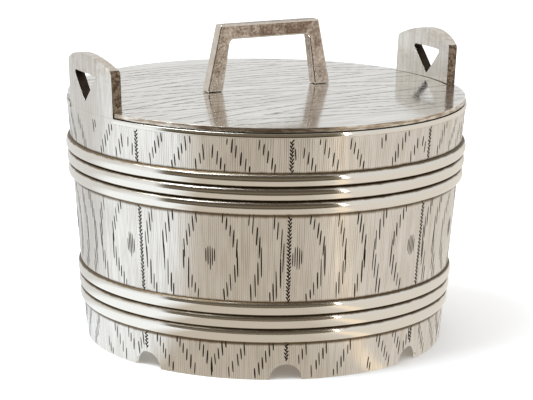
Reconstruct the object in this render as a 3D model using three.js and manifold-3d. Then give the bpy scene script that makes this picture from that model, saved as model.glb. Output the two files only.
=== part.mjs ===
// Silver sugar bowl shaped as a small coopered tub: a tapered wall with notched foot, two reeded
// hoops, a pair of pierced ears, and a flat lid with a bracket handle that lifts off between the ears.
// Millimetres, +Z up, origin at the middle of the ring the foot stands on, ears along X.
import * as THREE from 'three';
import { mergeVertices } from 'three/addons/utils/BufferGeometryUtils.js';
import Module from 'manifold-3d';

const wasm = await Module();
wasm.setup();

// ---- Driving dimensions ----
const rimHeight = 67.3;
const rimRadius = 55.5;
const footRadius = 50;
const wallThickness = 1;

const staveCount = 8;
const footNotchRadius = 4.35;

const baseHeight = 6;
const baseThickness = 0.9;

const reedHeight = 3.75;
const reedsPerHoop = 3;
const upperHoopDrop = 10.45;
const upperReedBulge = 1.2;
const lowerHoopHeight = 10.5;
const lowerReedBulge = 0.8;

const rimWireHeight = 1.3;
const rimWireBulge = 0.3;

const earHalfWidth = 13.3;
const earThickness = 2.7;
const earShoulderRise = 12.4;
const earTopRise = 15.7;
const earShoulderRounding = 1.2;
const earLean = 0.045;
const earTangDepth = 9;

const holeTopRise = 10.5;
const holeBottomRise = 2.6;
const holeHalfWidth = 7.2;
const holeRounding = 0.6;

const lidOverhang = 0.2;
const lidThickness = 1.2;
const lidDome = 1;
const lidEdgeChamfer = 0.25;

const collarDepth = 4;
const collarThickness = 0.9;

const handleHeight = 18.4;
const handleTopHalfLength = 15.5;
const handleFootHalfLength = 19.4;
const handleTopLegWidth = 3;
const handleFootLegWidth = 4.8;
const handleBarHeight = 4.1;
const handleDepth = 3.4;
const handleEdge = 0.35;
const handleInnerRounding = 1.4;

// ---- Fits ----
const solderGap = 0.1;
const tangGap = 0.2;
const lidSeatGap = 0.3;
const notchClearance = 0.35;
const collarClearance = 0.6;
const handleFootGap = 0.3;

// ---- Mesh fineness ----
const turns = 64;
const reedFacets = 4;
const domeRings = 4;
const notchSides = 24;

// ---- Finish ----
const silver = { color: 0xc8c1b5, roughness: 0.32, metalness: 1 };
const brightSilver = { color: 0xdcd9d2, roughness: 0.18, metalness: 1 };
const darkSilver = { color: 0xa39a8c, roughness: 0.4, metalness: 1 };

const wallSlope = (rimRadius - footRadius) / rimHeight;
const wallOuter = (z) => footRadius + wallSlope * z;
const wallInner = (z) => wallOuter(z) - wallThickness;

// ---- Shape helpers ----
function turned(points) {
  const profile = points.map(([r, z]) => new THREE.Vector2(r, z));
  const geometry = new THREE.LatheGeometry(profile, turns);
  geometry.rotateX(Math.PI / 2);
  return geometry;
}

function turnedRing(points) {
  return turned([...points, points[0]]);
}

function solid(geometry) {
  const bare = geometry.clone();
  bare.deleteAttribute('normal');
  bare.deleteAttribute('uv');
  const merged = mergeVertices(bare, 1e-4);
  return new wasm.Manifold(new wasm.Mesh({
    numProp: 3,
    vertProperties: merged.attributes.position.array,
    triVerts: new Uint32Array(merged.index.array),
  }));
}

function geometryOf(manifold) {
  const { vertProperties, triVerts } = manifold.getMesh();
  const geometry = new THREE.BufferGeometry();
  geometry.setAttribute('position', new THREE.BufferAttribute(vertProperties, 3));
  geometry.setIndex(new THREE.BufferAttribute(triVerts, 1));
  geometry.computeVertexNormals();
  return geometry;
}

function block(x0, x1, y0, y1, z0, z1) {
  const geometry = new THREE.BoxGeometry(x1 - x0, y1 - y0, z1 - z0);
  geometry.translate((x0 + x1) / 2, (y0 + y1) / 2, (z0 + z1) / 2);
  return solid(geometry);
}

// Outline with each corner rounded by its own radius; corners are [x, y, radius].
function roundedShape(corners) {
  const shape = new THREE.Shape();
  corners.forEach(([x, y, radius], i) => {
    const corner = new THREE.Vector2(x, y);
    const before = new THREE.Vector2(...corners.at(i - 1));
    const after = new THREE.Vector2(...corners[(i + 1) % corners.length]);
    const toBefore = before.clone().sub(corner).normalize();
    const toAfter = after.clone().sub(corner).normalize();
    const halfAngle = toBefore.angleTo(toAfter) / 2;
    const setback = radius / Math.tan(halfAngle);
    const start = corner.clone().addScaledVector(toBefore, setback);
    const end = corner.clone().addScaledVector(toAfter, setback);
    if (i === 0) shape.moveTo(start.x, start.y);
    else shape.lineTo(start.x, start.y);
    if (radius > 0) shape.quadraticCurveTo(x, y, end.x, end.y);
  });
  shape.closePath();
  return shape;
}

// ---- Tub ----
function tubWall() {
  const shell = solid(turnedRing([
    [wallOuter(0), 0],
    [wallOuter(rimHeight), rimHeight],
    [wallInner(rimHeight), rimHeight],
    [wallInner(0), 0],
  ]));
  const drillLength = 2 * (wallThickness + footNotchRadius);
  let cut = shell;
  for (let i = 0; i < staveCount; i += 1) {
    const angle = ((i + 0.5) * 2 * Math.PI) / staveCount;
    const drill = new THREE.CylinderGeometry(footNotchRadius, footNotchRadius, drillLength, notchSides);
    drill.rotateZ(Math.PI / 2);
    drill.translate(wallInner(0), 0, 0);
    drill.rotateZ(angle);
    cut = cut.subtract(solid(drill));
  }
  return geometryOf(cut);
}

function basePlate() {
  const top = baseHeight + baseThickness;
  return turned([
    [0, baseHeight],
    [wallInner(baseHeight) - solderGap, baseHeight],
    [wallInner(top) - solderGap, top],
    [0, top],
  ]);
}

function reed(bottom, bulge) {
  const height = reedHeight - solderGap;
  const face = [];
  for (let i = 0; i <= reedFacets; i += 1) {
    const angle = (Math.PI * i) / reedFacets;
    const z = bottom + (height * (1 - Math.cos(angle))) / 2;
    face.push([wallOuter(z) + solderGap + bulge * (0.2 + 0.8 * Math.sin(angle)), z]);
  }
  return turnedRing([
    [wallOuter(bottom) + solderGap, bottom],
    ...face,
    [wallOuter(bottom + height) + solderGap, bottom + height],
  ]);
}

const rimWireBottom = rimHeight - rimWireHeight;
const rimWire = solid(turnedRing([
  [wallOuter(rimWireBottom) + solderGap, rimWireBottom],
  [wallOuter(rimWireBottom + rimWireHeight / 3) + solderGap + rimWireBulge, rimWireBottom + rimWireHeight / 3],
  [wallOuter(rimHeight - rimWireHeight / 3) + solderGap + rimWireBulge, rimHeight - rimWireHeight / 3],
  [wallOuter(rimHeight) + solderGap, rimHeight],
]));

// One arc of rim wire, from the edge of one ear round to the edge of the other.
function rimWireArc(side) {
  const reach = 2 * rimRadius;
  const edge = earHalfWidth + tangGap;
  const [y0, y1] = side > 0 ? [edge, reach] : [-reach, -edge];
  return geometryOf(rimWire.intersect(block(-reach, reach, y0, y1, 0, 2 * rimHeight)));
}

// ---- Ears ----
const earFoot = rimHeight + solderGap;
const earTop = rimHeight + earTopRise;
const tangBottom = rimHeight - earTangDepth;
const earOuter = (z) => rimRadius + earLean * (z - rimHeight);
const earInner = (z) => (z > rimHeight ? earOuter(z) : wallOuter(z)) - earThickness;

// The ring an ear is cut from: flush with the wall above the rim, and stepped in below it so that
// a tang hangs inside the wall.
function earBlank() {
  return solid(turnedRing([
    [earOuter(earFoot), earFoot],
    [earOuter(earTop + 1), earTop + 1],
    [earInner(earTop + 1), earTop + 1],
    [earInner(rimHeight), rimHeight],
    [earInner(tangBottom), tangBottom],
    [wallInner(tangBottom) - tangGap, tangBottom],
    [wallInner(rimHeight) - tangGap, rimHeight],
    [wallInner(rimHeight) - tangGap, earFoot],
  ]));
}

function earOutline() {
  const shoulder = rimHeight + earShoulderRise;
  const r = earShoulderRounding;
  const archRise = earTopRise - earShoulderRise;
  const archRadius = (earHalfWidth ** 2 + archRise ** 2) / (2 * archRise);
  const archSpan = Math.asin((earHalfWidth - r) / archRadius);
  const shape = new THREE.Shape();
  shape.moveTo(-earHalfWidth, tangBottom - 1);
  shape.lineTo(earHalfWidth, tangBottom - 1);
  shape.lineTo(earHalfWidth, shoulder - r);
  shape.quadraticCurveTo(
    earHalfWidth,
    shoulder,
    archRadius * Math.sin(archSpan),
    earTop - archRadius * (1 - Math.cos(archSpan)),
  );
  shape.absarc(0, earTop - archRadius, archRadius, Math.PI / 2 - archSpan, Math.PI / 2 + archSpan, false);
  shape.quadraticCurveTo(-earHalfWidth, shoulder, -earHalfWidth, shoulder - r);
  shape.closePath();
  shape.holes.push(roundedShape([
    [-holeHalfWidth, rimHeight + holeTopRise, holeRounding],
    [0, rimHeight + holeBottomRise, holeRounding],
    [holeHalfWidth, rimHeight + holeTopRise, holeRounding],
  ]));
  return shape;
}

function ear() {
  const cutter = new THREE.ExtrudeGeometry(earOutline(), {
    depth: 2 * earThickness + rimRadius,
    bevelEnabled: false,
    curveSegments: 8,
  });
  cutter.rotateX(Math.PI / 2);
  cutter.rotateZ(Math.PI / 2);
  return geometryOf(earBlank().intersect(solid(cutter)));
}

// ---- Lid ----
const lidBottom = rimHeight + lidSeatGap;
const lidRadius = rimRadius - lidOverhang;
const domeAt = (r) => lidDome * (1 - (r / lidRadius) ** 2);

function lidPlate() {
  const profile = [];
  for (let i = 0; i <= domeRings; i += 1) {
    const r = (lidRadius * i) / domeRings;
    profile.push([r, lidBottom + domeAt(r)]);
  }
  profile.push([lidRadius, lidBottom + lidThickness - lidEdgeChamfer]);
  for (let i = domeRings; i >= 0; i -= 1) {
    const r = ((lidRadius - lidEdgeChamfer) * i) / domeRings;
    profile.push([r, lidBottom + lidThickness + domeAt(r)]);
  }
  const disc = solid(turned(profile));
  const notchDepthRadius = earInner(lidBottom) - notchClearance;
  const halfWidth = earHalfWidth + notchClearance;
  const reach = 2 * rimRadius;
  const outside = solid(turnedRing([
    [notchDepthRadius, 0],
    [reach, 0],
    [reach, 2 * rimHeight],
    [notchDepthRadius, 2 * rimHeight],
  ]));
  const notches = outside.intersect(block(-reach, reach, -halfWidth, halfWidth, 0, 2 * rimHeight));
  return geometryOf(disc.subtract(notches));
}

const collarOuter = earInner(rimHeight - collarDepth) - collarClearance;

function lidCollar() {
  const inner = collarOuter - collarThickness;
  const top = lidBottom + domeAt(collarOuter) - solderGap;
  return turnedRing([
    [inner, top - collarDepth],
    [collarOuter, top - collarDepth],
    [collarOuter, top],
    [inner, top],
  ]);
}

function lidHandle() {
  const innerFoot = handleFootHalfLength - handleFootLegWidth;
  const innerTop = handleTopHalfLength - handleTopLegWidth;
  const foot = lidBottom + lidThickness + domeAt(innerFoot) + handleFootGap;
  const top = lidBottom + lidThickness + lidDome + handleHeight;
  const inset = handleEdge;
  const outline = roundedShape([
    [-handleFootHalfLength + inset, foot + inset, 0],
    [-innerFoot - inset, foot + inset, 0],
    [-innerTop - inset, top - handleBarHeight + inset, handleInnerRounding],
    [innerTop + inset, top - handleBarHeight + inset, handleInnerRounding],
    [innerFoot + inset, foot + inset, 0],
    [handleFootHalfLength - inset, foot + inset, 0],
    [handleTopHalfLength - inset, top - inset, inset],
    [-handleTopHalfLength + inset, top - inset, inset],
  ]);
  const geometry = new THREE.ExtrudeGeometry(outline, {
    depth: handleDepth - 2 * inset,
    bevelSize: inset,
    bevelThickness: inset,
    bevelSegments: 1,
    curveSegments: 6,
  });
  geometry.rotateX(Math.PI / 2);
  geometry.translate(0, handleDepth / 2 - inset, 0);
  return geometry;
}

// ---- Assembly ----
const bowl = new THREE.Group();

function piece(parent, name, geometry, finish) {
  const mesh = new THREE.Mesh(geometry, new THREE.MeshStandardMaterial(finish));
  mesh.name = name;
  parent.add(mesh);
  return mesh;
}

const tub = new THREE.Group();
bowl.add(tub);
piece(tub, 'tub_wall', tubWall(), silver);
piece(tub, 'base_plate', basePlate(), darkSilver);
piece(tub, 'rim_wire_front', rimWireArc(-1), brightSilver);
piece(tub, 'rim_wire_back', rimWireArc(1), brightSilver);
piece(tub, 'ear_right', ear(), silver);
piece(tub, 'ear_left', ear(), silver).rotation.z = Math.PI;
const upperHoopHeight = rimHeight - upperHoopDrop - reedsPerHoop * reedHeight;
for (let i = 0; i < reedsPerHoop; i += 1) {
  const number = reedsPerHoop - i;
  const upperReed = reed(upperHoopHeight + i * reedHeight, upperReedBulge);
  piece(tub, `upper_hoop_reed_${number}`, upperReed, brightSilver);
  const lowerReed = reed(lowerHoopHeight + i * reedHeight, lowerReedBulge);
  piece(tub, `lower_hoop_reed_${number}`, lowerReed, brightSilver);
}

const lid = new THREE.Group();
bowl.add(lid);
piece(lid, 'lid_plate', lidPlate(), brightSilver);
piece(lid, 'lid_collar', lidCollar(), darkSilver);
piece(lid, 'lid_handle', lidHandle(), silver);

export default bowl;
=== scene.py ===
import math
import random

import bmesh
import bpy
import numpy as np
from mathutils import Matrix, Vector


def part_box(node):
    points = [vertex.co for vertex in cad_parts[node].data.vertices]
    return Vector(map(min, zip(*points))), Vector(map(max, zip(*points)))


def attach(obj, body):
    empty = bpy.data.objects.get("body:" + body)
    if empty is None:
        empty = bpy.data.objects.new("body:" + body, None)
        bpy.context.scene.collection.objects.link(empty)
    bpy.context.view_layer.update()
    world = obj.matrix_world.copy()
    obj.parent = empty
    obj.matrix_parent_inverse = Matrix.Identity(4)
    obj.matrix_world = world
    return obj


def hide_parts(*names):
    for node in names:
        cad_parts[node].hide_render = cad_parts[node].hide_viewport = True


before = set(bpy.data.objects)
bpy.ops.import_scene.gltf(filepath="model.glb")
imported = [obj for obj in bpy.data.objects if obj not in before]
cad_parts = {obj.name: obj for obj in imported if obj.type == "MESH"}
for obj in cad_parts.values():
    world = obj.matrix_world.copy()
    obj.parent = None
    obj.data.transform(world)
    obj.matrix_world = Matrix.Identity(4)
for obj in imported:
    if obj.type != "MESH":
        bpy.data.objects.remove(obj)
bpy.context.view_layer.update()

MM = 0.001
SPIN_STEPS = 384
EDGE_ROUNDING = 0.12 * MM
HAIR = 0.01 * MM

chance = random.Random(7)


# ---- Sizes taken from the frame ----

def radii_at(node, height):
    """Smallest and largest distance from the axis among a node's corners at one height."""
    points = np.array([v.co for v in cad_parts[node].data.vertices])
    ring = points[np.abs(points[:, 2] - height) < 2 * HAIR]
    radii = np.hypot(ring[:, 0], ring[:, 1])
    return float(radii.min()), float(radii.max())


RIM_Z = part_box("tub_wall")[1].z
RIM_INNER, RIM_OUTER = radii_at("tub_wall", RIM_Z)
FOOT_OUTER = radii_at("tub_wall", 0.0)[1]
WALL_SLOPE = (RIM_OUTER - FOOT_OUTER) / RIM_Z
WALL_THICKNESS = RIM_OUTER - RIM_INNER
UPPER_REEDS = ["upper_hoop_reed_1", "upper_hoop_reed_2", "upper_hoop_reed_3"]
LOWER_REEDS = ["lower_hoop_reed_1", "lower_hoop_reed_2", "lower_hoop_reed_3"]
UPPER_HOOP_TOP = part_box(UPPER_REEDS[0])[1].z
UPPER_HOOP_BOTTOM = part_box(UPPER_REEDS[-1])[0].z
LOWER_HOOP_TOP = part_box(LOWER_REEDS[0])[1].z
LOWER_HOOP_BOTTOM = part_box(LOWER_REEDS[-1])[0].z
RIM_WIRE_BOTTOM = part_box("rim_wire_front")[0].z
RIM_WIRE_OUTER = radii_at("rim_wire_front", RIM_WIRE_BOTTOM + (RIM_Z - RIM_WIRE_BOTTOM) / 3)[1]
RIM_WIRE_LEAN = 0.35
RIM_WIRE_FULLNESS = 0.25
RIM_WIRE_STEPS = 12
REED_CREST = 0.38
REED_FULLNESS = 2.1
REED_STEPS = 24
WIRE_GAP = 0.02 * MM

EAR_LOW, EAR_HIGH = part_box("ear_right")
EAR_HALF_WIDTH = EAR_HIGH.y
EAR_LEAN = (EAR_HIGH.x - RIM_OUTER) / (EAR_HIGH.z - RIM_Z)
EAR_THICKNESS = 2.7 * MM
EAR_ARCH_RISE = 3.3 * MM
EAR_CORNER = 1.4 * MM
EAR_ROUNDING = 0.32 * MM
EAR_COLUMN = 0.75 * MM
EAR_COLUMNS = int(EAR_HALF_WIDTH / EAR_COLUMN)
HOLE_TOP = RIM_Z + 10.5 * MM
HOLE_BOTTOM = RIM_Z + 2.6 * MM
HOLE_HALF_WIDTH = 7.2 * MM
HOLE_CORNER = 0.6 * MM
HOLE_MARGIN = 0.4 * MM
TANG_BOTTOM = EAR_LOW.z
TANG_DEPTH = WALL_THICKNESS + 0.2 * MM

LID_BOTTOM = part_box("lid_plate")[0].z
LID_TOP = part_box("lid_plate")[1].z
LID_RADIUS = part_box("lid_plate")[1].y
LID_DOME = 1.0 * MM
LID_THICKNESS = LID_TOP - LID_BOTTOM - LID_DOME
LID_ROUNDING = 0.22 * MM
LID_RINGS = 24
COLLAR_THICKNESS = 0.9 * MM
COLLAR_ROUNDING = 0.1 * MM
NOTCH_CLEARANCE = 0.35 * MM
NOTCH_RADIUS = RIM_OUTER - EAR_THICKNESS - NOTCH_CLEARANCE
NOTCH_HALF_WIDTH = EAR_HALF_WIDTH + NOTCH_CLEARANCE
NOTCH_STEPS = 24
HANDLE_LOW, HANDLE_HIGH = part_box("lid_handle")
HANDLE_TOP_HALF = 15.5 * MM
HANDLE_LEG_AT_TOP = 3.0 * MM
HANDLE_LEG_AT_FOOT = 4.8 * MM
HANDLE_BAR = 4.1 * MM
HANDLE_CORNER = 1.4 * MM
HANDLE_ROUNDING = 0.45 * MM
HANDLE_LET_IN = 0.25 * MM

STAVES = 8
JOINT_ANGLES = [(i + 0.5) * 360 / STAVES for i in range(STAVES)]
FOOT_NOTCH_RADIUS = 4.35 * MM
DRILL_LENGTH = 8 * MM


def wall_outer(z):
    return FOOT_OUTER + WALL_SLOPE * z


def wall_inner(z):
    return wall_outer(z) - WALL_THICKNESS


def lid_rise(r):
    return LID_DOME * (1 - (r / LID_RADIUS) ** 2)


# ---- Camera, floor and light ----

VIEW_AZIMUTH = -29.5
VIEW_ELEVATION = 10.18
VIEW_DISTANCE = 0.6468
VIEW_LOWERED = 2.58
VIEW_TURNED = 0.035
VIEW_ROLL = 0.834
FOCAL_RATIO = 4.3463
SENSOR = 36.0

DIM_SIDE = VIEW_AZIMUTH - 8
WINDOW_SIDE = VIEW_AZIMUTH - 66
LAMP_DISTANCE = 0.9
WARM_LAMP = (1.0, 0.93, 0.82)
COOL_LAMP = (0.86, 0.94, 1.0)
SURROUND = (1.28, 1.28, 1.28)

ROOM_DIM = (0.10, 0.078, 0.054)
ROOM_DIM_LOW = (0.19, 0.16, 0.115)
ROOM_PALE = (0.82, 0.82, 0.81)
ROOM_WINDOW = (0.98, 1.01, 1.05)

# Colours the floor glows with in reflections only: painted light and painted shade, with a painted highlight
# streak.
FLOOR_FAR = (0.075, 0.056, 0.038)
FLOOR_FRONT = (0.66, 0.605, 0.53)
FLOOR_RIGHT = (0.84, 0.80, 0.745)
FLOOR_LEFT = (1.12, 1.18, 1.24)
FLOOR_BEHIND = (0.80, 0.81, 0.82)
FLOOR_PAINTED_STREAK = (1.12, 0.98, 0.80)
FLOOR_MATT = ((0.86, 0.86, 0.86), (0.88, 0.88, 0.88))
FLOOR_HALF = 3.0


def direction(azimuth, elevation):
    """Unit vector from the object towards a place, by its azimuth and elevation in degrees."""
    a, e = math.radians(azimuth), math.radians(elevation)
    return Vector((math.sin(a) * math.cos(e), -math.cos(a) * math.cos(e), math.sin(e)))


def set_camera():
    azimuth = math.radians(VIEW_AZIMUTH)
    right = Vector((math.cos(azimuth), math.sin(azimuth), 0))
    back = direction(VIEW_AZIMUTH, VIEW_ELEVATION)
    axes = Matrix((right, back.cross(right), back)).transposed()
    lowered = Matrix.Rotation(math.radians(-VIEW_LOWERED), 3, "X")
    turned = Matrix.Rotation(math.radians(-VIEW_TURNED), 3, "Y")
    rolled = Matrix.Rotation(math.radians(VIEW_ROLL), 3, "Z")
    camera = bpy.data.objects.new("camera", bpy.data.cameras.new("camera"))
    bpy.context.scene.collection.objects.link(camera)
    place = Vector((0, 0, RIM_Z)) + back * VIEW_DISTANCE
    camera.matrix_world = Matrix.Translation(place) @ (axes @ turned @ lowered @ rolled).to_4x4()
    camera.data.sensor_width = SENSOR
    camera.data.lens = FOCAL_RATIO * SENSOR
    camera.data.clip_start = 0.05
    bpy.context.scene.camera = camera


def softbox(name, azimuth, elevation, size, power, colour):
    light = bpy.data.lights.new(name, "AREA")
    light.shape = "RECTANGLE"
    light.size, light.size_y = size
    light.energy = power
    light.color = colour
    lamp = bpy.data.objects.new(name, light)
    bpy.context.scene.collection.objects.link(lamp)
    outwards = direction(azimuth, elevation)
    lamp.location = outwards * LAMP_DISTANCE + Vector((0, 0, RIM_Z / 2))
    lamp.rotation_euler = outwards.to_track_quat("Z", "Y").to_euler()


def towards(net, place, azimuth, stops, elevation=0):
    """Level that grows with how far a place lies towards an azimuth, across the given stops."""
    reach = net.add("ShaderNodeVectorMath", operation="DOT_PRODUCT")
    net.link(place, reach.inputs[0])
    reach.inputs[1].default_value = direction(azimuth, elevation)
    return net.ramp(reach.outputs["Value"], stops)


def studio_world():
    """White surround; what the silver mirrors is a white room with a dim, warm side at its front."""
    world = bpy.data.worlds.new("studio")
    bpy.context.scene.world = world
    world.use_nodes = True
    net = Net(world.node_tree)
    ray = net.add("ShaderNodeTexCoord").outputs["Generated"]
    front = towards(net, ray, DIM_SIDE, [(0.55, 0.0), (0.64, 1.0)], 12)
    low = net.ramp(net.parts(ray)["Z"], [(0.20, 1.0), (0.30, 0.0)])
    dim = net.mix(low, ROOM_DIM, ROOM_DIM_LOW)
    left = towards(net, ray, WINDOW_SIDE, [(0.86, 0.0), (0.95, 1.0)])
    mirrored = net.mix(front, net.mix(left, ROOM_PALE, ROOM_WINDOW), dim)
    path = net.add("ShaderNodeLightPath")
    colour = net.mix(path.outputs["Is Glossy Ray"], SURROUND, mirrored)
    background = net.add("ShaderNodeBackground")
    net.link(colour, background.inputs["Color"])
    background.inputs["Strength"].default_value = 1.0
    out = net.add("ShaderNodeOutputWorld")
    net.link(background.outputs[0], out.inputs["Surface"])


def pale_table():
    """Plain pale floor; in the silver it glows with painted light and shade instead of its own lit colour:
    its far front fades into painted shade like the dim side of the room, its left is painted brightest, and a
    narrow painted highlight streak crosses it.
    """
    bm = bmesh.new()
    bmesh.ops.create_grid(bm, x_segments=1, y_segments=1, size=FLOOR_HALF)
    floor = mesh_object("floor", bm)
    material = bpy.data.materials.new("pale_table")
    material.use_nodes = True
    net = Net(material.node_tree)
    place = net.position()
    bearing = net.add("ShaderNodeVectorMath", operation="NORMALIZE")
    net.link(place, bearing.inputs[0])
    bearing = bearing.outputs["Vector"]
    front = towards(net, bearing, DIM_SIDE, [(0.55, 0.0), (0.68, 1.0)])
    far = net.math("MULTIPLY", towards(net, place, VIEW_AZIMUTH, [(0.26, 0.0), (0.35, 1.0)]), front)
    right = towards(net, bearing, VIEW_AZIMUTH + 90, [(0.35, 0.0), (0.6, 1.0)])
    left = towards(net, bearing, VIEW_AZIMUTH - 90, [(0.55, 0.0), (0.73, 1.0)])
    behind = towards(net, bearing, VIEW_AZIMUTH - 150, [(0.50, 0.0), (0.75, 1.0)])
    # Narrow painted highlight streak in the floor as the silver sees it.
    painted_streak = towards(net, bearing, VIEW_AZIMUTH + 38, [(0.9998, 0.0), (0.99997, 1.0)])
    near = net.mix(left, net.mix(right, FLOOR_FRONT, FLOOR_RIGHT), FLOOR_LEFT)
    near = net.mix(behind, near, FLOOR_BEHIND)
    near = net.mix(painted_streak, near, FLOOR_PAINTED_STREAK)
    # To glossy rays the floor is an emission of these painted colours, unshaded by the bowl.
    glow = net.add("ShaderNodeEmission")
    net.link(net.mix(far, near, FLOOR_FAR), glow.inputs["Color"])
    matt = net.add("ShaderNodeBsdfDiffuse")
    haze = net.noise(place, 4.0, 2.0)
    net.link(net.mix(haze, *FLOOR_MATT), matt.inputs["Color"])
    path = net.add("ShaderNodeLightPath")
    seen = net.add("ShaderNodeMixShader")
    net.link(path.outputs["Is Glossy Ray"], seen.inputs["Fac"])
    net.link(matt.outputs[0], seen.inputs[1])
    net.link(glow.outputs[0], seen.inputs[2])
    out = net.add("ShaderNodeOutputMaterial")
    net.link(seen.outputs[0], out.inputs["Surface"])
    floor.data.materials.append(material)


# ---- Materials ----

class Net:
    """A small hand for wiring up a node tree."""

    def __init__(self, tree):
        self.tree = tree
        tree.nodes.clear()

    def add(self, kind, **settings):
        node = self.tree.nodes.new(kind)
        for name, value in settings.items():
            setattr(node, name, value)
        return node

    def link(self, source, target):
        self.tree.links.new(source, target)

    def feed(self, socket, value):
        if isinstance(value, bpy.types.NodeSocket):
            self.link(value, socket)
        elif isinstance(value, tuple) and len(value) == 3 and len(socket.default_value) == 4:
            socket.default_value = (*value, 1)
        else:
            socket.default_value = value

    def math(self, operation, *values):
        node = self.add("ShaderNodeMath", operation=operation)
        for socket, value in zip(node.inputs, values):
            self.feed(socket, value)
        return node.outputs[0]

    def ramp(self, value, stops):
        """Grey level between 0 and 1 from a list of (position, level) stops."""
        node = self.add("ShaderNodeValToRGB")
        elements = node.color_ramp.elements
        elements.remove(elements[1])
        for n, (position, level) in enumerate(stops):
            element = elements.new(position) if n else elements[0]
            element.position = position
            element.color = (level, level, level, 1)
        self.link(value, node.inputs["Fac"])
        return node.outputs["Color"]

    def mix(self, factor, low, high):
        node = self.add("ShaderNodeMix", data_type="RGBA")
        self.feed(node.inputs["Factor"], factor)
        self.feed(node.inputs["A"], low)
        self.feed(node.inputs["B"], high)
        return node.outputs["Result"]

    def noise(self, vector, scale, detail=2.0, roughness=0.5):
        node = self.add("ShaderNodeTexNoise")
        self.link(vector, node.inputs["Vector"])
        node.inputs["Scale"].default_value = scale
        node.inputs["Detail"].default_value = detail
        node.inputs["Roughness"].default_value = roughness
        return node.outputs["Fac"]

    def parts(self, vector):
        node = self.add("ShaderNodeSeparateXYZ")
        self.link(vector, node.inputs[0])
        return node.outputs

    def climb(self, vector, heights, levels):
        """Level that goes from the first to the second as the height does."""
        node = self.add("ShaderNodeMapRange")
        self.link(self.parts(vector)["Z"], node.inputs["Value"])
        node.inputs["From Min"].default_value, node.inputs["From Max"].default_value = heights
        node.inputs["To Min"].default_value, node.inputs["To Max"].default_value = levels
        return node.outputs[0]

    def blend(self, fine, coarse, share):
        """Fine and coarse noise added together, share being how much of the fine."""
        return self.math("ADD", self.math("MULTIPLY", fine, share), self.math("MULTIPLY", coarse, 1 - share))

    def stretched(self, vector, scale):
        node = self.add("ShaderNodeMapping")
        self.link(vector, node.inputs["Vector"])
        node.inputs["Scale"].default_value = scale
        return node.outputs["Vector"]

    def attribute(self, name):
        return self.add("ShaderNodeAttribute", attribute_name=name).outputs["Fac"]

    def position(self):
        return self.add("ShaderNodeTexCoord").outputs["Object"]

    def bump(self, height, strength, distance):
        node = self.add("ShaderNodeBump")
        node.inputs["Strength"].default_value = strength
        node.inputs["Distance"].default_value = distance
        self.link(height, node.inputs["Height"])
        return node.outputs["Normal"]


def grey(level):
    return (level, level, level)


def metal(name, paint):
    """New metal; paint(net, shader) wires up its colour, roughness and bump."""
    material = bpy.data.materials.new(name)
    material.use_nodes = True
    net = Net(material.node_tree)
    shader = net.add("ShaderNodeBsdfPrincipled")
    shader.inputs["Metallic"].default_value = 1.0
    out = net.add("ShaderNodeOutputMaterial")
    net.link(shader.outputs[0], out.inputs["Surface"])
    paint(net, shader)
    return material


POLISHED = (0.80, 0.765, 0.70)
CLEAN, CLOUDED = (0.80, 0.77, 0.72), (0.72, 0.68, 0.625)
LINE_BOTTOM = (0.58, 0.535, 0.475)
# Dark oxide colour, also laid in as painted shade beside and between the hoop wires.
OXIDE_AND_SHADE = (0.15, 0.108, 0.066)
LID_CLEAN, LID_CLOUDED = (0.92, 0.915, 0.895), (0.83, 0.82, 0.79)
LID_LINE_BOTTOM = (0.57, 0.54, 0.495)
LID_EDGE_BROWN, LID_EDGE_BARE = (0.36, 0.28, 0.205), (0.78, 0.71, 0.62)
HANDLE_BARE, HANDLE_BROWN = (0.76, 0.67, 0.58), (0.20, 0.135, 0.095)
EAR_BROWN = (0.50, 0.385, 0.275)
# Brighter colour of rubbed edges and leg outsides, partly a painted highlight.
RUBBED_AND_HIGHLIT, WORN = (0.84, 0.78, 0.70), (0.52, 0.45, 0.37)
TARNISH, DEEP_TARNISH = (0.30, 0.235, 0.175), (0.075, 0.05, 0.033)
BLACK, BROWN_BLACK = (0.016, 0.011, 0.008), (0.07, 0.048, 0.033)
PLAIN_DULL, PLAIN_CLEAN = (0.60, 0.55, 0.48), (0.76, 0.72, 0.66)
CUT_DARK, CUT_WORN = (0.025, 0.016, 0.010), (0.11, 0.08, 0.055)
LID_CUT_DARK, LID_CUT_WORN = (0.10, 0.08, 0.06), (0.50, 0.46, 0.41)

LINE_PITCH, LINE_WANDER = 0.55 * MM, 2.2 * MM
LID_LINE_PITCH, LID_LINE_WANDER = 0.8 * MM, 3.0 * MM


def round_the_wall(net):
    """Position unrolled from the tub: distance round the wall, then height."""
    parts = net.parts(net.position())
    angle = net.math("ARCTAN2", parts["Y"], parts["X"])
    joined = net.add("ShaderNodeCombineXYZ")
    net.link(net.math("MULTIPLY", angle, RIM_OUTER), joined.inputs["X"])
    net.link(parts["Z"], joined.inputs["Y"])
    return joined.outputs[0]


def fine_lines(net, place, pitch, wander):
    """Closely ruled graver lines along the second axis of place; 0 in a line and 1 between lines."""
    sway = net.math("MULTIPLY", net.noise(net.stretched(place, (160, 22, 160)), 1.0, 2.0), wander)
    across = net.math("ADD", net.parts(place)["X"], sway)
    wave = net.math("SINE", net.math("MULTIPLY", across, 2 * math.pi / pitch))
    breaks = net.noise(net.stretched(place, (900, 70, 900)), 1.0, 2.0)
    level = net.math("ADD", net.math("MULTIPLY", wave, 0.18), breaks)
    return net.ramp(level, [(0.30, 0.0), (0.52, 1.0)])


def ruled_silver(net, place):
    """The fine ruled lines, and the colour of the lightly clouded silver they are cut in."""
    lines = fine_lines(net, place, LINE_PITCH, LINE_WANDER)
    cloud = net.ramp(net.noise(place, 70.0, 3.0, 0.6), [(0.3, 0.0), (0.7, 1.0)])
    return lines, net.mix(lines, LINE_BOTTOM, net.mix(cloud, CLEAN, CLOUDED))


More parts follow.
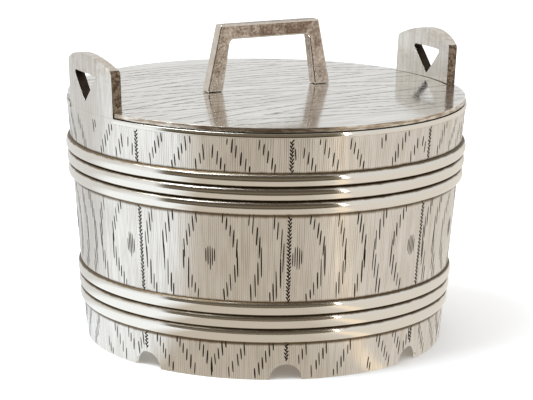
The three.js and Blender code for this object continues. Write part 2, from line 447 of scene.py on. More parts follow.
def hoop_dirt_and_shade(net, place):
    """Dirt and painted shade on the wall where it meets the hoops; 1 right against a hoop."""
    ragged = net.math("MULTIPLY", net.math("SUBTRACT", net.noise(place, 500.0, 3.0), 0.5), 0.5 * MM)
    height = net.math("DIVIDE", net.math("ADD", net.parts(place)["Y"], ragged), RIM_Z)
    stops = []
    for low, high in ((LOWER_HOOP_BOTTOM, LOWER_HOOP_TOP), (UPPER_HOOP_BOTTOM, UPPER_HOOP_TOP)):
        stops += [
            ((low - 1.05 * MM) / RIM_Z, 0.0), ((low - 0.5 * MM) / RIM_Z, 1.0),
            ((high + 0.15 * MM) / RIM_Z, 1.0), ((high + 0.5 * MM) / RIM_Z, 0.0),
        ]
    return net.ramp(height, stops)


def engraved_silver(net, shader):
    unrolled = round_the_wall(net)
    lines, colour = ruled_silver(net, unrolled)
    dirt_and_shade = hoop_dirt_and_shade(net, unrolled)
    # Beside the hoops the wall turns oxide dark: dirt and painted shade.
    net.link(net.mix(dirt_and_shade, colour, OXIDE_AND_SHADE), shader.inputs["Base Color"])
    net.link(net.mix(lines, grey(0.28), grey(0.15)), shader.inputs["Roughness"])
    net.link(net.bump(lines, 0.25, 0.05 * MM), shader.inputs["Normal"])


def polished_silver(net, shader):
    groove = net.attribute("groove")
    unrolled = round_the_wall(net)
    patches = net.noise(unrolled, 260.0, 3.0, 0.6)
    # The wires darken where they meet the wall and each other: dark oxide and painted shade.
    valley_oxide_and_shade = net.math("ADD", groove, net.math("MULTIPLY", net.math("SUBTRACT", patches, 0.5), 0.3))
    dark = net.ramp(valley_oxide_and_shade, [(0.66, 0.0), (0.84, 1.0)])
    net.link(net.mix(dark, POLISHED, OXIDE_AND_SHADE), shader.inputs["Base Color"])
    net.link(net.mix(dark, grey(0.11), grey(0.5)), shader.inputs["Roughness"])
    scuffs = net.noise(net.stretched(unrolled, (300, 3000, 1)), 1.0, 2.0)
    net.link(net.bump(scuffs, 0.05, 0.02 * MM), shader.inputs["Normal"])


def lid_silver(net, shader):
    turned = net.add("ShaderNodeMapping")
    net.link(net.position(), turned.inputs["Vector"])
    turned.inputs["Rotation"].default_value = (0, 0, math.pi / 2)
    lines = fine_lines(net, turned.outputs["Vector"], LID_LINE_PITCH, LID_LINE_WANDER)
    cloud = net.noise(net.position(), 60.0, 3.0, 0.6)
    clean = net.mix(cloud, LID_CLEAN, LID_CLOUDED)
    net.link(net.mix(lines, LID_LINE_BOTTOM, clean), shader.inputs["Base Color"])
    net.link(net.mix(lines, grey(0.24), grey(0.09)), shader.inputs["Roughness"])
    net.link(net.bump(lines, 0.12, 0.03 * MM), shader.inputs["Normal"])


def lid_edge_silver(net, shader):
    """The lid's edge, browned where a cloth does not reach."""
    wear = net.noise(net.stretched(net.position(), (250, 250, 1600)), 1.0, 3.0)
    rubbed_bare = net.ramp(wear, [(0.42, 0.0), (0.62, 1.0)])
    net.link(net.mix(rubbed_bare, LID_EDGE_BROWN, LID_EDGE_BARE), shader.inputs["Base Color"])
    shader.inputs["Roughness"].default_value = 0.2


def handle_silver(net, shader):
    """Brown tarnish in specks and clouds, thickest along the top of the bracket."""
    place = net.position()
    higher = net.climb(place, (HANDLE_LOW.z, HANDLE_HIGH.z), (-0.03, 0.12))
    specks = net.noise(place, 1500.0, 4.0, 0.7)
    stain = net.blend(specks, net.noise(place, 190.0, 3.0, 0.6), 0.55)
    stained = net.ramp(net.math("ADD", stain, higher), [(0.40, 0.0), (0.66, 1.0)])
    net.link(net.mix(stained, HANDLE_BARE, HANDLE_BROWN), shader.inputs["Base Color"])
    net.link(net.mix(stained, grey(0.16), grey(0.34)), shader.inputs["Roughness"])
    net.link(net.bump(specks, 0.1, 0.05 * MM), shader.inputs["Normal"])


def ear_silver(net, shader):
    """The wall's ruled silver, with brown clouds that polishing has left high on the ears."""
    lines, clean = ruled_silver(net, round_the_wall(net))
    place = net.position()
    higher = net.climb(place, (RIM_Z, EAR_HIGH.z), (-0.16, 0.0))
    stain = net.blend(net.noise(place, 900.0, 4.0, 0.7), net.noise(place, 170.0, 3.0, 0.6), 0.45)
    stained = net.ramp(net.math("ADD", stain, higher), [(0.46, 0.0), (0.72, 1.0)])
    net.link(net.mix(stained, clean, EAR_BROWN), shader.inputs["Base Color"])
    net.link(net.mix(stained, grey(0.18), grey(0.32)), shader.inputs["Roughness"])
    net.link(net.bump(lines, 0.25, 0.05 * MM), shader.inputs["Normal"])


def rubbed_and_highlit_silver(net, shader):
    """Edges and outsides that fingers keep bright, lightened further as a painted highlight."""
    wear = net.noise(net.position(), 700.0, 3.0)
    net.link(net.mix(wear, RUBBED_AND_HIGHLIT, WORN), shader.inputs["Base Color"])
    shader.inputs["Roughness"].default_value = 0.16
    net.link(net.bump(wear, 0.1, 0.03 * MM), shader.inputs["Normal"])


def tarnished_silver(net, shader):
    place = net.position()
    specks = net.noise(place, 1300.0, 4.0, 0.7)
    stained = net.ramp(specks, [(0.40, 0.0), (0.60, 1.0)])
    net.link(net.mix(stained, TARNISH, DEEP_TARNISH), shader.inputs["Base Color"])
    shader.inputs["Roughness"].default_value = 0.34
    net.link(net.bump(specks, 0.15, 0.05 * MM), shader.inputs["Normal"])


def blackened_silver(net, shader):
    crust = net.noise(net.position(), 900.0, 3.0)
    net.link(net.mix(crust, BLACK, BROWN_BLACK), shader.inputs["Base Color"])
    shader.inputs["Roughness"].default_value = 0.5


def plain_silver(net, shader):
    place = net.position()
    bloom = net.noise(place, 90.0, 4.0, 0.6)
    net.link(net.mix(bloom, PLAIN_DULL, PLAIN_CLEAN), shader.inputs["Base Color"])
    net.link(net.mix(bloom, grey(0.3), grey(0.42)), shader.inputs["Roughness"])
    net.link(net.bump(net.noise(place, 900.0, 2.0), 0.08, 0.05 * MM), shader.inputs["Normal"])


def cut_silver(net, shader):
    """Silver darkened in the bottom of an engraved cut."""
    depth = net.noise(net.position(), 500.0, 2.0)
    shade = net.ramp(depth, [(0.72, 0.0), (0.92, 1.0)])
    net.link(net.mix(shade, CUT_DARK, CUT_WORN), shader.inputs["Base Color"])
    shader.inputs["Roughness"].default_value = 0.45


def lid_cut_silver(net, shader):
    depth = net.noise(net.position(), 300.0, 2.0)
    net.link(net.mix(depth, LID_CUT_DARK, LID_CUT_WORN), shader.inputs["Base Color"])
    shader.inputs["Roughness"].default_value = 0.3


# ---- Making pieces ----

EDGE_FINISH, HOLE_FINISH = 1, 2


def spun(profile):
    """Closed outline of (radius, height) points turned once round the axis."""
    bm = bmesh.new()
    verts = [bm.verts.new((r, 0, z)) for r, z in profile]
    edges = [bm.edges.new((a, b)) for a, b in zip(verts, verts[1:] + verts[:1])]
    bmesh.ops.spin(
        bm, geom=verts + edges, cent=(0, 0, 0), axis=(0, 0, 1), dvec=(0, 0, 0),
        angle=2 * math.pi, steps=SPIN_STEPS, use_merge=True, use_duplicate=False,
    )
    bmesh.ops.remove_doubles(bm, verts=bm.verts, dist=1e-8)
    bmesh.ops.delete(bm, geom=[e for e in bm.edges if not e.link_faces], context="EDGES")
    bmesh.ops.recalc_face_normals(bm, faces=bm.faces)
    return bm


def sharp_edges(bm, angle=35):
    return [e for e in bm.edges if len(e.link_faces) == 2 and e.calc_face_angle() > math.radians(angle)]


def round_edges(bm, edges, offset=EDGE_ROUNDING, segments=2):
    """Rounds the given edges and returns the new faces."""
    return bmesh.ops.bevel(
        bm, geom=edges, offset=offset, segments=segments, profile=0.5, affect="EDGES", material=-1,
        clamp_overlap=True,
    )["faces"]


def push(bm, faces, way):
    """Extrudes faces along way and returns the new faces at the far end; the first ones stay."""
    pushed = bmesh.ops.extrude_face_region(bm, geom=faces)["geom"]
    bmesh.ops.translate(bm, verts=[v for v in pushed if isinstance(v, bmesh.types.BMVert)], vec=way)
    return [f for f in pushed if isinstance(f, bmesh.types.BMFace)]


def prism(outline, way):
    """Flat outline of points pushed along way."""
    bm = bmesh.new()
    push(bm, [bm.faces.new([bm.verts.new(p) for p in outline])], way)
    bmesh.ops.recalc_face_normals(bm, faces=bm.faces)
    return bm


def turn_half_round(bm):
    bmesh.ops.rotate(bm, verts=bm.verts, cent=(0, 0, 0), matrix=Matrix.Rotation(math.pi, 3, "Z"))


def join_into(target, addition):
    """Adds one bmesh to another."""
    mesh = bpy.data.meshes.new("part")
    addition.to_mesh(mesh)
    addition.free()
    target.from_mesh(mesh)
    bpy.data.meshes.remove(mesh)


def mesh_object(name, bm):
    mesh = bpy.data.meshes.new(name)
    bm.to_mesh(mesh)
    bm.free()
    made = bpy.data.objects.new(name, mesh)
    bpy.context.scene.collection.objects.link(made)
    return made


def cut_away(piece, cutter_bm):
    """Takes the cutter's shape out of the piece."""
    cutter = mesh_object("cutter", cutter_bm)
    modifier = piece.modifiers.new("cut", "BOOLEAN")
    modifier.operation = "DIFFERENCE"
    modifier.solver = "EXACT"
    modifier.object = cutter
    graph = bpy.context.evaluated_depsgraph_get()
    mesh = bpy.data.meshes.new_from_object(piece.evaluated_get(graph))
    piece.modifiers.clear()
    piece.data = mesh
    bpy.data.objects.remove(cutter)


def finish_piece(piece, body, finishes, replaces=(), smooth=32, crisp=False):
    """Shading, finishes and body; crisp keeps flat faces flat beside their rounded edges."""
    piece.data.shade_smooth()
    piece.data.set_sharp_from_angle(angle=math.radians(smooth))
    if crisp:
        piece.modifiers.new("normals", "WEIGHTED_NORMAL").keep_sharp = True
    indices = [polygon.material_index for polygon in piece.data.polygons]
    piece.data.materials.clear()
    for finish in finishes:
        piece.data.materials.append(finish)
    for polygon, index in zip(piece.data.polygons, indices):
        polygon.material_index = min(index, len(finishes) - 1)
    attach(piece, body)
    if replaces:
        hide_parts(*replaces)


def rounded_corner(before, corner, after, radius, steps=6):
    """Points of an arc that rounds off one corner of a flat outline."""
    to_before, to_after = (before - corner).normalized(), (after - corner).normalized()
    half = to_before.angle(to_after) / 2
    centre = corner + (to_before + to_after).normalized() * (radius / math.sin(half))
    start = corner + to_before * (radius / math.tan(half)) - centre
    end = corner + to_after * (radius / math.tan(half)) - centre
    return [centre + start.lerp(end, i / steps).normalized() * radius for i in range(steps + 1)]


# ---- Tub ----

def tub_wall(finishes):
    """Tapered wall with half-round notches drilled through its foot, one under each stave joint."""
    outside = [(wall_outer(0), 0), (wall_outer(RIM_Z), RIM_Z)]
    inside = [(wall_inner(RIM_Z), RIM_Z), (wall_inner(0), 0)]
    bm = spun(outside + inside)
    round_edges(bm, sharp_edges(bm, 50))
    piece = mesh_object("tub_wall_silver", bm)
    drills = bmesh.new()
    for angle in JOINT_ANGLES:
        turn = Matrix.Rotation(math.radians(angle), 4, "Z")
        lie_down = Matrix.Rotation(math.pi / 2, 4, "Y")
        place = turn @ Matrix.Translation((FOOT_OUTER, 0, 0)) @ lie_down
        bmesh.ops.create_cone(
            drills, cap_ends=True, segments=72, radius1=FOOT_NOTCH_RADIUS, radius2=FOOT_NOTCH_RADIUS,
            depth=DRILL_LENGTH, matrix=place,
        )
    cut_away(piece, drills)
    finish_piece(piece, "tub", finishes, ["tub_wall"], crisp=True)


def base_plate(finishes):
    low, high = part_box("base_plate")
    reach = wall_inner(low.z)
    bm = spun([(0, low.z), (reach, low.z), (reach, high.z), (0, high.z)])
    piece = mesh_object("base_plate_silver", bm)
    finish_piece(piece, "tub", finishes, ["base_plate"])


def reed(node, finishes):
    """Rounded wire laid round the wall, its crest set low; groove grows to 1 where it meets the wall, and
    there its finish turns to dark oxide and painted shade.
    """
    low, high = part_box(node)
    bulge = high.x - wall_outer((low.z + high.z) / 2)
    height = high.z - low.z
    profile = []
    for i in range(REED_STEPS + 1):
        t = (1 - math.cos(math.pi * i / REED_STEPS)) / 2
        lift = (t - REED_CREST) / (REED_CREST if t < REED_CREST else 1 - REED_CREST)
        z = low.z + height * t
        swell = bulge * math.sqrt(max(0, 1 - abs(lift) ** REED_FULLNESS))
        profile.append((wall_outer(z) + WIRE_GAP + swell, z))
    bm = spun(profile)
    groove = bm.verts.layers.float.new("groove")
    for v in bm.verts:
        t = (v.co.z - low.z) / height
        v[groove] = max(0, 1 - t / 0.12, (t - 0.5) / 0.5)
    piece = mesh_object(node + "_silver", bm)
    finish_piece(piece, "tub", finishes, [node], smooth=60)


def rim_wires(finishes):
    """Bead round the outside of the rim, leaning in a little, cut away where the ears stand."""
    bulge = RIM_WIRE_OUTER - RIM_OUTER
    half = (RIM_Z - RIM_WIRE_BOTTOM) / 2
    middle = RIM_Z - half
    profile = [(wall_outer(RIM_WIRE_BOTTOM) + WIRE_GAP, RIM_WIRE_BOTTOM)]
    for i in range(1, RIM_WIRE_STEPS):
        angle = math.pi * i / RIM_WIRE_STEPS
        z = middle - half * math.cos(angle)
        leaning = 1 - RIM_WIRE_LEAN + RIM_WIRE_LEAN * math.cos(angle)
        swell = bulge * leaning * math.sin(angle) ** RIM_WIRE_FULLNESS
        profile.append((wall_outer(z) + WIRE_GAP + swell, z))
    profile.append((wall_outer(RIM_Z) + WIRE_GAP, RIM_Z))
    for node, side in (("rim_wire_front", -1), ("rim_wire_back", 1)):
        bm = spun(profile)
        groove = bm.verts.layers.float.new("groove")
        # The wire's foot against the wall darkens with oxide and painted shade.
        for v in bm.verts:
            v[groove] = 0.75 if v.co.z < RIM_WIRE_BOTTOM + 10 * HAIR else 0.0
        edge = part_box(node)[1].y if side < 0 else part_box(node)[0].y
        cut = bmesh.ops.bisect_plane(
            bm, geom=bm.verts[:] + bm.edges[:] + bm.faces[:], plane_co=(0, edge, 0),
            plane_no=(0, -side, 0), clear_outer=True,
        )["geom_cut"]
        bmesh.ops.edgeloop_fill(bm, edges=[e for e in cut if isinstance(e, bmesh.types.BMEdge)])
        bmesh.ops.recalc_face_normals(bm, faces=bm.faces)
        piece = mesh_object(node + "_silver", bm)
        finish_piece(piece, "tub", finishes, [node], smooth=60)


# ---- Ears ----

def closed_loop(bm, points):
    verts = [bm.verts.new(p) for p in points]
    return [bm.edges.new(pair) for pair in zip(verts, verts[1:] + verts[:1])]


def ear_outline():
    """Plate above the rim, seen flat: straight sides, rounded shoulders and an arched top."""
    half, rise = EAR_HALF_WIDTH, EAR_ARCH_RISE
    radius = (half ** 2 + rise ** 2) / (2 * rise)
    places = [half] + [i * EAR_COLUMN for i in range(EAR_COLUMNS, -EAR_COLUMNS - 1, -1)]
    over = [Vector((y, EAR_HIGH.z - radius + math.sqrt(radius ** 2 - y ** 2))) for y in places]
    foot, shoulder = Vector((half, RIM_Z)), over[0]
    right = rounded_corner(foot, shoulder, over[1], EAR_CORNER)
    kept = [p for p in over if abs(p.x) < right[-1].x - 30 * HAIR]
    left = [Vector((-p.x, p.y)) for p in reversed(right)]
    return [foot] + right + kept + left + [Vector((-half, RIM_Z))]


def ear_hole():
    """Three-sided hole with its point down."""
    top_right = Vector((HOLE_HALF_WIDTH, HOLE_TOP))
    top_left = Vector((-HOLE_HALF_WIDTH, HOLE_TOP))
    point = Vector((0, HOLE_BOTTOM))
    outline = rounded_corner(top_left, top_right, point, HOLE_CORNER)
    outline += rounded_corner(top_right, point, top_left, HOLE_CORNER)
    outline += rounded_corner(point, top_left, top_right, HOLE_CORNER)
    return outline


def on_rim(edge):
    """Whether an edge of the flat ear lies where the plate stands on the wall's rim."""
    return all(v.co.z < RIM_Z + HAIR and v.co.x > -TANG_DEPTH - HAIR for v in edge.verts)


def in_hole(place):
    beside = abs(place.y) < HOLE_HALF_WIDTH + HOLE_MARGIN
    return beside and HOLE_BOTTOM - HOLE_MARGIN < place.z < HOLE_TOP + HOLE_MARGIN


def ear(node, side, finishes):
    """Pierced plate on the rim, bent to the wall's curve, with its tang down inside the wall."""
    bm = bmesh.new()
    rings = [closed_loop(bm, [(0, p.x, p.y) for p in points]) for points in (ear_outline(), ear_hole())]
    sheet = bmesh.ops.triangle_fill(bm, use_beauty=True, edges=rings[0] + rings[1])["geom"]
    outside = [f for f in sheet if isinstance(f, bmesh.types.BMFace)]
    middle = push(bm, outside, (-TANG_DEPTH, 0, 0))
    push(bm, middle, (TANG_DEPTH - EAR_THICKNESS, 0, 0))
    bmesh.ops.delete(bm, geom=middle, context="FACES")
    bmesh.ops.recalc_face_normals(bm, faces=bm.faces)
    foot = [
        f for f in bm.faces
        if f.normal.z < -0.9 and f.calc_center_median().x < -TANG_DEPTH
        and f.calc_center_median().z < RIM_Z + 10 * HAIR
    ]
    push(bm, foot, (0, 0, TANG_BOTTOM - RIM_Z))
    bmesh.ops.delete(bm, geom=foot, context="FACES")
    round_edges(bm, [e for e in sharp_edges(bm) if not on_rim(e)], EAR_ROUNDING, 3)
    for f in bm.faces:
        across = abs(f.normal.x) < 0.25
        if across and in_hole(f.calc_center_median()):
            f.material_index = HOLE_FINISH
        elif across and abs(f.normal.y) > 0.6:
            f.material_index = EDGE_FINISH
    for i in range(-EAR_COLUMNS, EAR_COLUMNS + 1):
        bmesh.ops.bisect_plane(
            bm, geom=bm.verts[:] + bm.edges[:] + bm.faces[:], plane_co=(0, i * EAR_COLUMN, 0),
            plane_no=(0, 1, 0), dist=5 * HAIR,
        )
    for v in bm.verts:
        outer = RIM_OUTER + EAR_LEAN * (v.co.z - RIM_Z) if v.co.z > RIM_Z else wall_outer(v.co.z)
        v.co.x = math.sqrt((outer + v.co.x) ** 2 - v.co.y ** 2)
    if side < 0:
        turn_half_round(bm)
    bmesh.ops.recalc_face_normals(bm, faces=bm.faces)
    piece = mesh_object(node + "_silver", bm)
    finish_piece(piece, "tub", finishes, [node], crisp=True)


# ---- Lid ----

def notch_cutter():
    """Two blocks that cut the lid's notches, their inner faces curved to the backs of the ears."""
    reach, floor = RIM_OUTER * 1.1, LID_BOTTOM - 2 * MM
    span = math.asin(NOTCH_HALF_WIDTH / NOTCH_RADIUS)
    angles = [span * (i / NOTCH_STEPS - 1) for i in range(2 * NOTCH_STEPS + 1)]
    arc = [Vector((NOTCH_RADIUS * math.cos(a), NOTCH_RADIUS * math.sin(a), floor)) for a in angles]
    far = [Vector((reach, NOTCH_HALF_WIDTH, floor)), Vector((reach, -NOTCH_HALF_WIDTH, floor))]
    right = prism(arc + far, Vector((0, 0, 8 * MM)))
    left = right.copy()
    turn_half_round(left)
    cutter = bmesh.new()
    join_into(cutter, right)
    join_into(cutter, left)
    return cutter


def lid_plate(finishes):
    """Slightly domed disc with a notch at each side for the ears."""
    radii = [LID_RADIUS * i / LID_RINGS for i in range(LID_RINGS + 1)]
    profile = [(r, LID_BOTTOM + lid_rise(r)) for r in radii]
    profile += [(r, LID_BOTTOM + LID_THICKNESS + lid_rise(r)) for r in reversed(radii)]
    piece = mesh_object("lid_plate_silver", spun(profile))
    cut_away(piece, notch_cutter())
    for polygon in piece.data.polygons:
        polygon.material_index = 0 if abs(polygon.normal.z) > 0.7 else EDGE_FINISH
    bevel = piece.modifiers.new("edge", "BEVEL")
    bevel.width = LID_ROUNDING
    bevel.segments = 3
    bevel.limit_method = "ANGLE"
    bevel.angle_limit = math.radians(50)
    finish_piece(piece, "lid", finishes, ["lid_plate"], crisp=True)


def lid_collar(finishes):
    """Ring under the lid that keeps it centred in the tub."""
    low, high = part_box("lid_collar")
    inner = high.x - COLLAR_THICKNESS
    bm = spun([(inner, low.z), (high.x, low.z), (high.x, high.z), (inner, high.z)])
    round_edges(bm, sharp_edges(bm, 50), COLLAR_ROUNDING)
    piece = mesh_object("lid_collar_silver", bm)
    finish_piece(piece, "lid", finishes, ["lid_collar"], crisp=True)


def lid_handle(finishes):
    """Bracket handle with spreading legs, its rounded edges and the outsides of its legs rubbed bright and
    lightened as a painted highlight.
    """
    low, high = HANDLE_LOW, HANDLE_HIGH
    foot, under = low.z - HANDLE_LET_IN, high.z - HANDLE_BAR
    inner_foot, inner_top = high.x - HANDLE_LEG_AT_FOOT, HANDLE_TOP_HALF - HANDLE_LEG_AT_TOP
    left_foot, right_foot = Vector((-inner_foot, 0, foot)), Vector((inner_foot, 0, foot))
    left_top, right_top = Vector((-inner_top, 0, under)), Vector((inner_top, 0, under))
    outline = [
        Vector((high.x, 0, foot)), Vector((HANDLE_TOP_HALF, 0, high.z)),
        Vector((-HANDLE_TOP_HALF, 0, high.z)), Vector((-high.x, 0, foot)), left_foot,
    ]
    outline += rounded_corner(left_foot, left_top, right_top, HANDLE_CORNER)
    outline += rounded_corner(left_top, right_top, right_foot, HANDLE_CORNER)
    outline.append(right_foot)
    bm = prism([p + Vector((0, low.y, 0)) for p in outline], Vector((0, high.y - low.y, 0)))
    rounded = round_edges(bm, sharp_edges(bm), HANDLE_ROUNDING, 3)
    # Rounded edges and leg outsides take the brighter finish: rubbing and painted highlight.
    for f in bm.faces:
        middle = f.calc_center_median()
        outside = f.normal.x * middle.x > 0 and abs(f.normal.x) > 0.8 and abs(middle.x) > inner_top
        if f in rounded or outside:
            f.material_index = EDGE_FINISH
    piece = mesh_object("lid_handle_silver", bm)
    finish_piece(piece, "lid", finishes, ["lid_handle"], crisp=True)


# ---- Engraving ----

STROKE_PROUD = 0.025 * MM
STROKE_WIDTH = 0.44 * MM
STROKE_SHORTEST = 3.3 * MM
STROKE_OVERLAP = 2.1
STROKE_STEPS = (1.7 * MM, 3.6 * MM)
STROKE_LEAN = 0.12
STAGGER = 0.98 * MM
LID_STROKE_WIDTH = 0.24 * MM

KNOT_HEIGHT = 33.7 * MM
KNOT_SPACING = 0.62 * MM
KNOT_WIDTH = 0.35 * MM
KNOT_OFF_CENTRE = (2.3 * MM, 4.0 * MM)
KNOT_SPLIT = 0.58
RINGS = [(8.0 * MM, 16.0 * MM), (14.2 * MM, 30.0 * MM), (20.2 * MM, 38.8 * MM), (26.5 * MM, 50.0 * MM)]
FLAME = 1.5

NICK_PITCH = 1.0 * MM
NICK_REACH = 0.26 * MM
NICK_LENGTH = 1.2 * MM
NICK_WIDTH = 0.46 * MM

STAVE_WIDTH = 2 * math.pi * RIM_OUTER / STAVES
JOINT_MARGIN = 0.9 * MM
NOTCH_MARGIN = 1.2 * MM
BAND_MARGIN = 0.1 * MM
BANDS = [
    (3 * BAND_MARGIN, LOWER_HOOP_BOTTOM - BAND_MARGIN),
    (LOWER_HOOP_TOP + BAND_MARGIN, UPPER_HOOP_BOTTOM - BAND_MARGIN),
    (UPPER_HOOP_TOP + BAND_MARGIN, RIM_WIRE_BOTTOM - BAND_MARGIN),
]

LID_FLAMES = [(-34, 14), (-11, -16), (12, 9), (35, -6)]
LID_FLAME_HALF = 11.3
LID_RINGS_OF_GRAIN = ((3, 15), (6, 30), (9.5, 52), (13.5, 80))
LID_GRAIN_REACH = LID_RADIUS - 2.5 * MM


def tub_point(along, z):
    """Place on the tub's outside, with the ways out and up there; along is the arc round the rim."""
    angle = along / RIM_OUTER
    above = z > RIM_Z
    r = RIM_OUTER + EAR_LEAN * (z - RIM_Z) if above else wall_outer(z)
    slope = EAR_LEAN if above else WALL_SLOPE
    flat = Vector((math.cos(angle), math.sin(angle), 0))
    upwards = (flat * slope + Vector((0, 0, 1))).normalized()
    outwards = (flat - Vector((0, 0, slope))).normalized()
    return flat * r + Vector((0, 0, z)), outwards, upwards


def lid_point(y, x):
    """Place on top of the lid, with the ways out and along its grain there."""
    r = math.hypot(x, y)
    return Vector((x, y, LID_BOTTOM + LID_THICKNESS + lid_rise(r))), Vector((0, 0, 1)), Vector((1, 0, 0))


def graver_cut(cuts, surface, middle, length, width, lean=0.0):
    """Notes the place of one cut of the graver: how a unit sliver is sized, turned and let in."""
    place, out, up = surface(*middle)
    up = (Matrix.Rotation(lean, 3, out) @ up).normalized()
    across = out.cross(up)
    sliver = Matrix((across * width / 2, out * STROKE_PROUD, up * length / 2)).transposed().to_4x4()
    sliver.translation = place
    cuts.append(sliver)


def stamped(name, cuts, rings=5):
    """Object with a thin sliver, pointed at both ends, at each of the noted places."""
    unit = bmesh.new()
    bmesh.ops.create_uvsphere(unit, u_segments=6, v_segments=rings, radius=1)
    for v in unit.verts:
        girth = max(math.hypot(v.co.x, v.co.y), 1e-6)
        bmesh.ops.scale(unit, verts=[v], vec=(girth ** -0.45, girth ** -0.45, 1))
    unit.verts.index_update()
    corners = np.array([(*v.co, 1.0) for v in unit.verts])
    faces = [[v.index for v in f.verts] for f in unit.faces]
    unit.free()
    points = np.concatenate([corners @ np.array(m).T for m in cuts])[:, :3]
    mesh = bpy.data.meshes.new(name)
    mesh.from_pydata(points, [], [[i + n * len(corners) for i in f] for n in range(len(cuts)) for f in faces])
    made = bpy.data.objects.new(name, mesh)
    bpy.context.scene.collection.objects.link(made)
    return made


def over_notch(surface, along, z):
    """Whether a place on the tub's wall falls in one of the foot's half-round notches."""
    if surface is not tub_point:
        return False
    staves = along / STAVE_WIDTH - 0.5
    sideways = (staves - round(staves)) * STAVE_WIDTH * FOOT_OUTER / RIM_OUTER
    return math.hypot(sideways, z) < FOOT_NOTCH_RADIUS + NOTCH_MARGIN


def flame_reach(ring, dz):
    """How far a flame-shaped ring reaches sideways at a height above or below its middle."""
    half_width, half_height = ring
    return half_width * (1 - min(1, abs(dz) / half_height) ** FLAME)


def flame_side(cuts, surface, centre, ring, side, limits, bands, width):
    """Upright strokes stepped down one side of a flame-shaped ring of grain, each overlapping the next."""
    dz = ring[1]
    while dz > -ring[1]:
        slope = max(abs(flame_reach(ring, dz) - flame_reach(ring, dz - 2 * MM)) / (2 * MM), 0.01)
        step = min(max(STAGGER / slope, STROKE_STEPS[0]), STROKE_STEPS[1]) * chance.uniform(0.85, 1.15)
        dz -= step
        along = centre[0] + side * flame_reach(ring, dz) + chance.uniform(-0.15, 0.15) * MM
        z = centre[1] + dz
        size = max(STROKE_OVERLAP * step, STROKE_SHORTEST) * chance.uniform(0.85, 1.2)
        band = [b for b in bands if b[0] < z < b[1]]
        if not band or not limits[0] < along < limits[1] or over_notch(surface, along, z):
            continue
        low, high = max(z - size / 2, band[0][0]), min(z + size / 2, band[0][1])
        if high - low > 0.8 * MM:
            lean = -side * math.copysign(min(slope, 0.6), dz) * STROKE_LEAN
            middle = (along, (low + high) / 2)
            graver_cut(cuts, surface, middle, high - low, width * chance.uniform(0.75, 1.15), lean)


def knot(cuts, surface, centre, limits):
    """Lens of short upright strokes in the middle of the rings."""
    for i in range(-3, 4):
        along = centre[0] + i * KNOT_SPACING
        if limits[0] < along < limits[1]:
            half = (3.3 - 0.33 * i * i) * MM * chance.uniform(0.85, 1.1)
            z = centre[1] + chance.uniform(-0.5, 0.5) * MM
            if half > 0.5 * MM:
                graver_cut(cuts, surface, (along, z), 2 * half, KNOT_WIDTH)


def wriggle(cuts, surface, along, low, high):
    """Rocked graver line down a stave joint: two columns of little slanting nicks."""
    z, side = low + NICK_PITCH / 2, 1
    while z < high - NICK_PITCH / 2:
        if not over_notch(surface, along, z):
            place = (along + side * NICK_REACH * chance.uniform(0.6, 1.2), z)
            graver_cut(cuts, surface, place, NICK_LENGTH, NICK_WIDTH, -side * chance.uniform(0.45, 0.75))
        z += NICK_PITCH / 2
        side = -side


def wall_engraving(finishes):
    """Wood grain on the staves, one knot or two halves of one by turns, and the joints between them."""
    grain, nicks = [], []
    for i, angle in enumerate(JOINT_ANGLES):
        left = math.radians(angle) * RIM_OUTER
        right = left + STAVE_WIDTH
        limits = (left + JOINT_MARGIN, right - JOINT_MARGIN)
        if i % 2 == 0:
            knots = [(left + STAVE_WIDTH * 0.5, limits)]
        else:
            split = left + STAVE_WIDTH * KNOT_SPLIT
            knots = [
                (left + KNOT_OFF_CENTRE[0], (limits[0], split)),
                (right - KNOT_OFF_CENTRE[1], (split, limits[1])),
            ]
        for along, share in knots:
            centre = (along, KNOT_HEIGHT)
            knot(grain, tub_point, centre, limits)
            for ring in RINGS:
                for side in (-1, 1):
                    flame_side(grain, tub_point, centre, ring, side, share, BANDS, STROKE_WIDTH)
        for low, high in BANDS:
            wriggle(nicks, tub_point, left, low, high)
    for name, cuts, rings in (("wall_engraving", grain, 5), ("joint_engraving", nicks, 4)):
        finish_piece(stamped(name, cuts, rings), "tub", finishes, smooth=60)


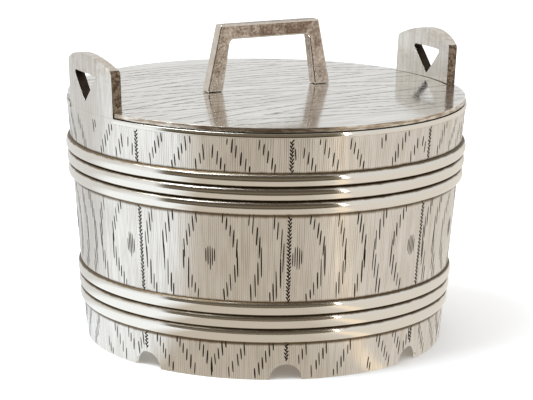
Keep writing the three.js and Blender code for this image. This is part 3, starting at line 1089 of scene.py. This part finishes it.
def on_lid(cut):
    x, y = abs(cut.translation.x), abs(cut.translation.y)
    by_ear = x > NOTCH_RADIUS - 3 * MM and y < NOTCH_HALF_WIDTH + MM
    return math.hypot(x, y) < LID_GRAIN_REACH and not by_ear


def lid_engraving(finishes):
    """Faint grain on the lid, its flames lying along the handle."""
    cuts = []
    for across, along in LID_FLAMES:
        centre = (across * MM, along * MM)
        limits = ((across - LID_FLAME_HALF) * MM, (across + LID_FLAME_HALF) * MM)
        for half_width, half_length in LID_RINGS_OF_GRAIN:
            ring = (half_width * MM, half_length * MM)
            for side in (-1, 1):
                flame_side(
                    cuts, lid_point, centre, ring, side, limits, [(-LID_GRAIN_REACH, LID_GRAIN_REACH)],
                    LID_STROKE_WIDTH,
                )
    piece = stamped("lid_engraving", [cut for cut in cuts if on_lid(cut)])
    finish_piece(piece, "lid", finishes, smooth=60)


# ---- Putting the bowl together ----

set_camera()
studio_world()

pale_table()
softbox("window_edge", VIEW_AZIMUTH + 44, 14, (0.018, 0.5), 0.26, WARM_LAMP)
softbox("window", WINDOW_SIDE, 58, (0.6, 0.5), 9, COOL_LAMP)

engraved = metal("engraved_silver_finish", engraved_silver)
polished = metal("polished_silver_finish", polished_silver)
lid_finish = metal("lid_silver_finish", lid_silver)
handle_finish = metal("handle_silver_finish", handle_silver)
plain = metal("plain_silver_finish", plain_silver)
ear_finish = metal("ear_silver_finish", ear_silver)
rubbed_and_highlit = metal("rubbed_silver_finish", rubbed_and_highlit_silver)
lid_edge = metal("lid_edge_silver_finish", lid_edge_silver)
tarnished = metal("tarnished_silver_finish", tarnished_silver)
blackened = metal("blackened_silver_finish", blackened_silver)
dark_cuts = metal("darkened_cuts", cut_silver)
lid_cuts = metal("lid_cuts", lid_cut_silver)

tub_wall([engraved])
base_plate([plain])
rim_wires([polished])
ear("ear_right", 1, [ear_finish, tarnished, blackened])
ear("ear_left", -1, [ear_finish, tarnished, blackened])
for node in UPPER_REEDS + LOWER_REEDS:
    reed(node, [polished])
wall_engraving([dark_cuts])
lid_plate([lid_finish, lid_edge])
lid_collar([plain])
lid_handle([handle_finish, rubbed_and_highlit])
lid_engraving([lid_cuts])

bpy.context.scene.view_settings.view_transform = "Standard"
